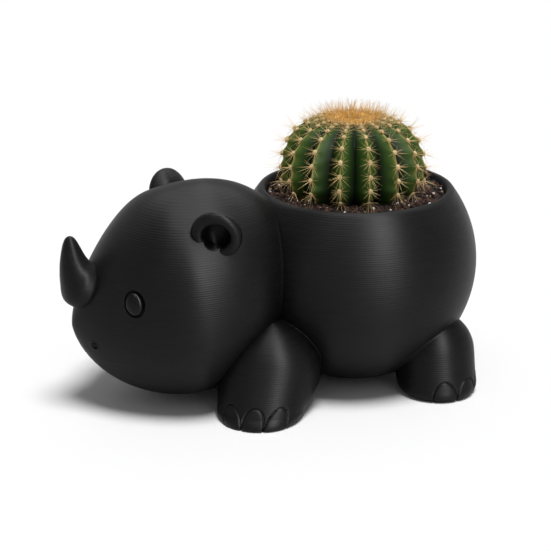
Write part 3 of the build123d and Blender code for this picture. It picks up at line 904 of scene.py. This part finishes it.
soil = {
    "top": 86.8, "gap": 0.35, "rough": 0.7, "edge": 1.9, "shoulder": (0.9, 1.2), "floorFlat": 15.0,
    "inner": 27.0, "outer": 40.0, "reach": 39.6, "grains": 720, "chips": 264, "perlite": 48, "sectors": 12,
}
soilProfile = [(0.0, soil["top"])] + [((mouthRadius - soil["edge"]) * k / 26, soil["top"]) for k in range(1, 27)]
wall = cupLine(soil["gap"])
shoulderPlace = (mouthRadius - soil["shoulder"][0], soil["top"] - soil["shoulder"][1])
for step in range(14):
    share = step / 13
    soilProfile.append((
        shoulderPlace[0] + (wall[-1][0] - shoulderPlace[0]) * share,
        shoulderPlace[1] + (wall[-1][1] - shoulderPlace[1]) * share,
    ))
soilProfile += wall[-2::-1] + [(soil["floorFlat"], wall[0][1]), (0.0, wall[0][1])]
soilBlock = spinProfile(soilProfile, 180)
for vertex in soilBlock.data.vertices:
    bumps = noise.fractal(vertex.co * 420, 1.0, 2.0, 3) * soil["rough"] * mm
    if vertex.co.z > (soil["top"] - 0.5) * mm:
        vertex.co.z += bumps - 0.35 * mm
    else:
        vertex.co -= Vector((vertex.co.x, vertex.co.y, 0)).normalized() * abs(bumps) * 0.6
soilBlock.location = potAxis
finishPiece(soilBlock, "pottingMix", soilMix, "plant", ["potting_mix"], 80)


def ringOf(count, middle, placeOne):  # copies in one sector, then the sector repeated round a middle
    sectors = soil["sectors"]
    clumps = [joined([placeOne(math.tau / sectors) for k in range(count // sectors)]) for variant in range(3)]
    there = Matrix.Translation(real(middle))
    copies = []
    for sector in range(sectors):
        turn = there @ Matrix.Rotation(math.tau * sector / sectors, 4, "Z") @ there.inverted()
        copies.append(copyTo(clumps[sector % 3], turn))
    for clump in clumps:
        bpy.data.objects.remove(clump)
    return joined(copies)


def scatterGrains(count, low, high, flat, name, material):
    clearSelection()
    bpy.ops.mesh.primitive_ico_sphere_add(subdivisions=1, radius=1)
    model = bpy.context.object

    def grain(sector):
        turn = random.uniform(0, sector)
        far = math.sqrt(random.uniform((soil["inner"] / soil["outer"]) ** 2, 1)) * soil["reach"]
        size = random.uniform(low, high)
        height = soil["top"] + size * random.uniform(-0.2, 0.5) - 0.2
        place = real(ringPoint(far, turn, height))
        spin = Matrix.Rotation(random.uniform(0, math.tau), 4, Vector(noise.random_unit_vector()))
        scale = Matrix.Diagonal((size * mm, size * random.uniform(0.5, 1) * mm, size * flat * mm, 1))
        return copyTo(model, Matrix.Translation(place) @ spin @ scale)

    piece = ringOf(count, (0, 0, 0), grain)
    bpy.data.objects.remove(model)
    finishPiece(piece, name, material, "plant", (), 20)


noise.seed_set(7)
scatterGrains(soil["grains"], 0.4, 1.2, 0.7, "soilCrumbs", soilMix)
scatterGrains(soil["chips"], 0.5, 1.4, 0.5, "barkChips", redChips)
scatterGrains(soil["chips"] // 3, 0.4, 1.0, 0.6, "paleChips", tanChips)
scatterGrains(soil["perlite"], 0.35, 0.9, 0.8, "perliteBits", perlite)
print("soil is made")

# Cactus: a ribbed barrel

cactus = {
    "height": 34.0, "belowWidest": 8.0, "radius": mouthRadius - 8.9, "lowerReach": 13.2, "crownPower": 2.9,
    "axis": (0, -1.8, 0), "ribs": 15, "ribTurn": -9.5, "valley": 0.2, "perRib": 24, "rows": 120,
    "areoleStep": 6.3, "bump": 0.45, "foot": 4.0, "footShare": 0.08, "fade": 14.0, "dip": 3.0,
}


def ridgeAt(height):  # the ridge's radius at a height over the soil
    above = height > cactus["belowWidest"]
    reach = cactus["height"] - cactus["belowWidest"] if above else cactus["lowerReach"]
    share = (height - cactus["belowWidest"]) / reach
    return cactus["radius"] * fullness(share, cactus["crownPower"] if above else 2)


ridgeHeights = [cactus["height"] * (1 - (1 - k / 300) ** 2) for k in range(301)]
ridgeLine = [(ridgeAt(height), height) for height in ridgeHeights]
ridgeLengths = [0.0]
for a, b in zip(ridgeLine, ridgeLine[1:]):
    ridgeLengths.append(ridgeLengths[-1] + math.hypot(b[0] - a[0], b[1] - a[1]))


def ridgePlace(length):  # radius and height at a length up the ridge, and the way the ridge runs there
    for k in range(300):
        if ridgeLengths[k + 1] >= length:
            t = (length - ridgeLengths[k]) / max(1e-9, ridgeLengths[k + 1] - ridgeLengths[k])
            a, b = ridgeLine[k], ridgeLine[k + 1]
            across, rise = b[0] - a[0], b[1] - a[1]
            slope = math.hypot(across, rise)
            return a[0] + across * t, a[1] + rise * t, across / slope, rise / slope
    return 0.0, cactus["height"], -1.0, 0.0


cactusColumns = cactus["ribs"] * cactus["perRib"]
crownLength = ridgeLengths[-1]


def placeCactus(row, column):
    way = 1 - row / cactus["rows"]
    rib = column / cactus["perRib"]
    phase = abs(rib - round(rib)) * 2  # 0 on the ridge, 1 in the valley
    turn = math.radians(cactus["ribTurn"] + 360 * rib / cactus["ribs"])
    footShare = cactus["footShare"]
    length = max(0.0, way - footShare) / (1 - footShare) * crownLength
    if way < footShare:  # the foot, under the soil
        radius, height, rise = ridgeAt(0) * way / footShare, -cactus["foot"], 1.0
    else:
        radius, height, across, rise = ridgePlace(length)
    swell = math.cos((length / cactus["areoleStep"] - (round(rib) % 2) / 2) * math.tau)
    crownFade = ease((crownLength - length) / cactus["fade"])
    depth = cactus["valley"] * (phase ** 0.85) * (0.35 + 0.65 * crownFade)
    push = cactus["bump"] * swell * max(0.0, 1 - phase * 1.6) * crownFade
    radius = radius * (1 - depth) + push * rise
    height += soil["top"]
    height -= depth * cactus["dip"] * (1 - rise)
    return ringPoint(radius, turn, height) + Vector(cactus["axis"])


cactusBody = roundForm(cactusColumns, cactus["rows"], placeCactus)
# 0 in the valleys and 1 on the crests; the skin's colour uses it to paint shade into the valleys.
ridge = cactusBody.data.attributes.new("ridge", "FLOAT", "POINT")
for index, vertex in enumerate(cactusBody.data.vertices):
    place = (vertex.co - potAxis) / mm - Vector(cactus["axis"])
    rib = (math.degrees(math.atan2(place.y, place.x)) - cactus["ribTurn"]) / 360 * cactus["ribs"]
    ridge.data[index].value = 1 - abs(rib - round(rib)) * 2
finishPiece(cactusBody, "cactusBody", cactusSkin, "plant", ["cactus_body"], 80)

# Spines: one tapered needle, gathered in tufts, and a tuft on every areole

spines = {
    "radius": 0.088, "sides": 4, "length": 6.4, "radial": 10, "central": 4, "tufts": 7, "sag": 0.05,
    "fan": 0.86, "radialThick": 0.85, "centralThick": 1.15, "wool": 0.95, "woolLift": 0.5,
    "crownSpines": 420, "crownReach": 13.5, "crownLength": 10.0, "hairs": 600, "start": 5.6, "aboveCad": 4.8,
}


def spineModel():
    clearSelection()
    bpy.ops.mesh.primitive_cone_add(
        vertices=spines["sides"], radius1=1, radius2=0.12, depth=1, location=(0, 0, 0.5), end_fill_type="NGON")
    model = bpy.context.object
    bpy.ops.object.transform_apply(location=True, rotation=True, scale=True)
    for height in (0.3, 0.65):
        setMode("EDIT")
        bpy.ops.mesh.select_all(action="SELECT")
        bpy.ops.mesh.bisect(plane_co=(0, 0, height), plane_no=(0, 0, 1))
        setMode("OBJECT")
    along = model.data.attributes.new("along", "FLOAT", "POINT")
    for index, vertex in enumerate(model.data.vertices):
        along.data[index].value = vertex.co.z
        vertex.co.x -= spines["sag"] * vertex.co.z ** 2 / (spines["radius"] / spines["length"])
    return model


spine = spineModel()


def spineMatrix(way, length, thick=1.0):  # from the origin of a tuft, its needle bending down
    way = way.normalized()
    side = Vector((0, 1, 0)).cross(way)
    side = side.normalized() if side.length > 0.1 else Vector((1, 0, 0))
    other = way.cross(side)
    turn = Matrix((side, other, way)).transposed().to_4x4()
    width = spines["radius"] * thick * mm
    return turn @ Matrix.Diagonal((width, width, length * mm, 1))


def tuft(seed):  # Z is out of the ridge, X across it and Y up along it
    luck = random.Random(seed)
    copies = []
    for k in range(spines["radial"]):
        step = k - (spines["radial"] - 1) / 2 + luck.uniform(-0.3, 0.3)
        turn = math.tau * (0.75 + step / spines["radial"] * spines["fan"])
        rise = luck.uniform(0.15, 0.5)
        down = 0.8 + 0.3 * max(0.0, -math.sin(turn))
        way = Vector((math.cos(turn), math.sin(turn) * 0.9 - 0.05, rise))
        long = spines["length"] * down * luck.uniform(0.75, 1.1)
        copies.append(copyTo(spine, spineMatrix(way, long, spines["radialThick"])))
    for k in range(spines["central"]):
        turn = math.tau * (k + luck.uniform(-0.3, 0.3)) / spines["central"] + 0.7
        way = Vector((math.cos(turn) * 0.5, math.sin(turn) * 0.4 - 0.3, 1.0))
        long = spines["length"] * luck.uniform(0.95, 1.3)
        copies.append(copyTo(spine, spineMatrix(way, long, spines["centralThick"])))
    return joined(copies)


def woolModel(seed):
    clearSelection()
    bpy.ops.mesh.primitive_ico_sphere_add(subdivisions=2, radius=1)
    model = bpy.context.object
    for vertex in model.data.vertices:
        vertex.co *= 1 + 0.35 * noise.noise(vertex.co * 2.2 + Vector((seed * 5, 0, 0)))
    return model


tufts = [tuft(k) for k in range(spines["tufts"])]
woolBalls = [woolModel(k) for k in range(3)]
tuftCopies, woolCopies = [], []
topLimit = cadBox[1][2] / mm + spines["aboveCad"]
for rib in range(cactus["ribs"]):
    turn = math.radians(cactus["ribTurn"] + 360 * rib / cactus["ribs"])
    outward = ringPoint(1, turn)
    sideways = Vector((-math.sin(turn), math.cos(turn), 0))
    length = spines["start"] + cactus["areoleStep"] * 0.5 * (rib % 2)
    count = 0
    while length < crownLength - 10.5:
        radius, height, across, rise = ridgePlace(length)
        along = (outward * across + Vector((0, 0, 1)) * rise).normalized()
        out = sideways.cross(along)
        place = real(outward * (radius + 0.1) + Vector((0, 0, soil["top"] + height)) + Vector(cactus["axis"]))
        turned = Matrix((sideways, along, out)).transposed().to_4x4()
        crownward = ease((length - crownLength + 30) / 14)
        size = 1.0 + random.uniform(-0.08, 0.08)
        there = Matrix.Translation(place) @ turned @ Matrix.Scale(size, 4)
        tuftCopies.append(copyTo(tufts[(rib * 7 + count * 3) % len(tufts)], there))
        wide = spines["wool"] * mm
        there = Matrix.Translation(place + out * spines["woolLift"] * mm) @ turned
        there = there @ Matrix.Diagonal((wide, wide * 1.25, wide * 0.75, 1))
        woolCopies.append(copyTo(woolBalls[(rib + count) % 3], there))
        length += cactus["areoleStep"] * (1 - 0.55 * crownward) * random.uniform(0.96, 1.04)
        count += 1
spineTufts = joined(tuftCopies)
for vertex in spineTufts.data.vertices:
    vertex.co.z = min(vertex.co.z, topLimit * mm)
finishPiece(spineTufts, "cactusSpines", goldenSpines, "plant", ["cactus_spines"], 60)
woolTufts = joined(woolCopies)
finishPiece(woolTufts, "areoleWool", tanWool, "plant", (), 80)
print("spines are made")

# Crown: a low cushion of wool with short hairs, and upright spines

crown = {
    "radius": 11.0, "proud": 0.7, "columns": 120, "rows": 50, "lump": 0.6, "sunk": 1.6, "under": 1.5,
    "hairSpread": 1.15, "spineLean": 0.035, "spineScatter": 0.13,
}
crownMiddle = Vector(cactus["axis"])


def placeCrown(row, column):
    way, turn = row / crown["rows"], math.tau * column / crown["columns"]
    above = way <= 0.5
    far = crown["radius"] * min(1.0, way * 2) if above else crown["radius"] * (1 - (way - 0.5) * 2)
    height = ridgePlace(crownLength - far)[1] if far > 0 else cactus["height"]
    inside = crown["radius"] - far
    lift = crown["proud"] * ease(inside / 4) if above else -crown["under"] * ease(inside / 2)
    place = ringPoint(far, turn, height + lift)
    if above:
        place.z += crown["lump"] * noise.noise(place * 0.55) + 0.5 * noise.noise(place * 1.6)
        place.z -= crown["sunk"] * (1 - ease(far / 7))
    return place + Vector((0, 0, soil["top"])) + crownMiddle


crownCushion = roundForm(crown["columns"], crown["rows"], placeCrown)
finishPiece(crownCushion, "crownWool", crownWool, "plant", ["cactus_crown"], 80)

clearSelection()
bpy.ops.mesh.primitive_cone_add(
    vertices=3, radius1=1, radius2=0, depth=1, location=(0, 0, 0.5), end_fill_type="NOTHING")
hair = bpy.context.object
bpy.ops.object.transform_apply(location=True, rotation=True, scale=True)


def crownHair(sector):
    far = crown["radius"] * math.sqrt(random.random()) * crown["hairSpread"]
    turn = random.uniform(0, sector)
    height = ridgePlace(crownLength - far)[1]
    place = real(ringPoint(far, turn, soil["top"] + height + 0.2) + crownMiddle)
    aside, ahead = (random.gauss(0, 0.7) for axis in "XY")
    way = Vector((aside + math.cos(turn) * 0.4, ahead + math.sin(turn) * 0.4, 0.9)).normalized()
    side = way.cross(Vector((0.3, 0.1, 1))).normalized()
    spin = Matrix((side, way.cross(side), way)).transposed().to_4x4()
    long = random.uniform(1.4, 3.0) * mm
    wide = 0.12 * mm
    return copyTo(hair, Matrix.Translation(place) @ spin @ Matrix.Diagonal((wide, wide, long, 1)))


def crownSpine(sector):
    far = spines["crownReach"] * random.random() ** 0.5
    turn = random.uniform(0, sector)
    slant, loose = far * crown["spineLean"], crown["spineScatter"]
    lean = Vector((math.cos(turn) * slant, math.sin(turn) * slant, 1.0))
    lean += Vector((random.gauss(0, loose), random.gauss(0, loose), 0))
    height = ridgePlace(crownLength - far)[1]
    foot = ringPoint(far, turn, soil["top"] + height - 0.5) + crownMiddle
    long = spines["crownLength"] * random.uniform(0.6, 1.15)
    long = min(long, (topLimit - foot.z) / lean.normalized().z * random.uniform(0.85, 1.0))
    return copyTo(spine, Matrix.Translation(real(foot)) @ spineMatrix(lean, long, 1.0))


crownHairs = ringOf(spines["hairs"], crownMiddle, crownHair)
finishPiece(crownHairs, "crownHairs", tanWool, "plant", (), 60)
crownSpines = ringOf(spines["crownSpines"], crownMiddle, crownSpine)
finishPiece(crownSpines, "crownSpines", crownGold, "plant", (), 60)
for model in [spine, hair, *tufts, *woolBalls]:
    bpy.data.objects.remove(model)
print("cactus is made")

# Floor, light and camera

clearSelection()
bpy.ops.mesh.primitive_plane_add(size=14)
floor = bpy.context.object
floor.name = "floor"
floorPaint, tree, shader, place = newMaterial("paleFloor", 0.9, 0.2)
shader.inputs["Base Color"].default_value = (0.92, 0.92, 0.92, 1)
floor.data.materials.append(floorPaint)

studio = {
    "sky": 0.22, "skySheen": 0.4,  # what the sky gives to matt surfaces and to reflections
    "lamps": (  # name, azimuth and elevation from the object, distance, width, height, watts
        ("key", 99, 38, 1.25, 0.3, 1.0, 25),
        ("top", 75, 84, 1.2, 0.8, 0.5, 13),
        ("back", 249, 52, 1.2, 1.2, 0.5, 9),
    ),
    "day": (95, 76, 2.85, 22),  # azimuth, elevation, strength and softness of the even light
    "aim": (0, -15, 45),
}
sky = bpy.data.worlds.new("studioSky")
bpy.context.scene.world = sky
sky.use_nodes = True
skyLight = sky.node_tree.nodes["Background"]
skyRays = sky.node_tree.nodes.new("ShaderNodeLightPath")
skySeen = mathNode(sky.node_tree, "MAXIMUM", skyRays.outputs["Is Camera Ray"], skyRays.outputs["Is Transmission Ray"])
skyLevel = times(sky.node_tree, skySeen, 1 - studio["sky"])
skySheen = times(sky.node_tree, skyRays.outputs["Is Glossy Ray"], studio["skySheen"] - studio["sky"])
level = plus(sky.node_tree, plus(sky.node_tree, skyLevel, skySheen), studio["sky"])
sky.node_tree.links.new(level, skyLight.inputs["Strength"])
skyLight.inputs["Color"].default_value = (1, 1, 1, 1)
aim = real(studio["aim"])
for name, azimuth, elevation, distance, width, height, watts in studio["lamps"]:
    away = direction(azimuth, elevation)
    bpy.ops.object.light_add(type="AREA", location=aim + away * distance)
    lamp = bpy.context.object
    lamp.name = name
    lamp.data.shape = "RECTANGLE"
    lamp.data.size, lamp.data.size_y = width, height
    lamp.data.energy = watts
    lamp.rotation_euler = away.to_track_quat("Z", "Y").to_euler()
    lamp.visible_diffuse = False  # these give only the sheen
azimuth, elevation, strength, softness = studio["day"]
away = direction(azimuth, elevation)
bpy.ops.object.light_add(type="SUN", location=aim + away * 2)
day = bpy.context.object
day.name = "day"
day.data.energy = strength
day.data.angle = math.radians(softness)
day.rotation_euler = away.to_track_quat("Z", "Y").to_euler()
day.visible_glossy = False

view = {
    "azimuth": 68.875, "elevation": 19.62, "distance": 772.5, "target": (-0.13, -39.05, 50.451),
    "lens": 111.05, "sensor": 36, "clip": (0.05, 30),
}
back = direction(view["azimuth"], view["elevation"])
azimuth = math.radians(view["azimuth"])
right = Vector((math.cos(azimuth), math.sin(azimuth), 0))
bpy.ops.object.camera_add(location=real(view["target"]) + back * view["distance"] * mm)
camera = bpy.context.object
camera.rotation_euler = Matrix((right, back.cross(right), back)).transposed().to_euler()
camera.data.lens = view["lens"]
camera.data.sensor_width = view["sensor"]
camera.data.clip_start, camera.data.clip_end = view["clip"]
bpy.context.scene.camera = camera
bpy.context.scene.view_settings.view_transform = "Standard"

print("scene is ready")
